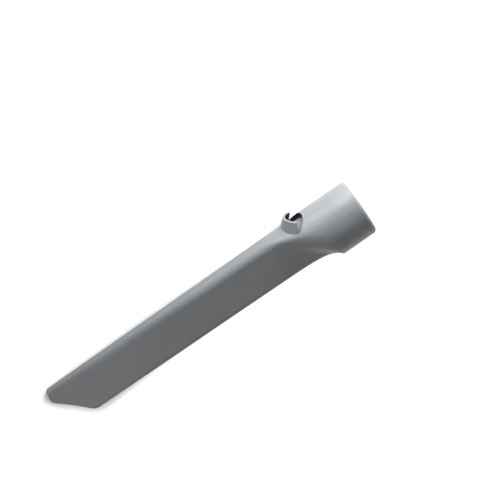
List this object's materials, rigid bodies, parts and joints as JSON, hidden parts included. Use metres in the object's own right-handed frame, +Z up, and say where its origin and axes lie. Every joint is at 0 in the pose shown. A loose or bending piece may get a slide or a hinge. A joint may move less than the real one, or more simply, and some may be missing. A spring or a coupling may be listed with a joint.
{
  "type": "vacuum crevice tool",
  "caption": "Flat, tapering crevice nozzle for a vacuum cleaner, with a slanted open mouth and a neck that swells to a round spigot, with a hooded latch well.",
  "frame": {"origin": "middle of the bounding box's bottom face, on the table that the tool lies on", "axes": "+X along the length from the mouth to the spigot, +Y to the narrow edge with the latch hood, +Z up from the table, out of the upper broad face"},
  "size_m": [0.241, 0.0446, 0.0417],
  "materials": {
    "tool_plastic": "satin moulded grey plastic"
  },
  "bodies": {
    "root": {"crevice_tool": "tool_plastic"}
  },
  "joints": []
}
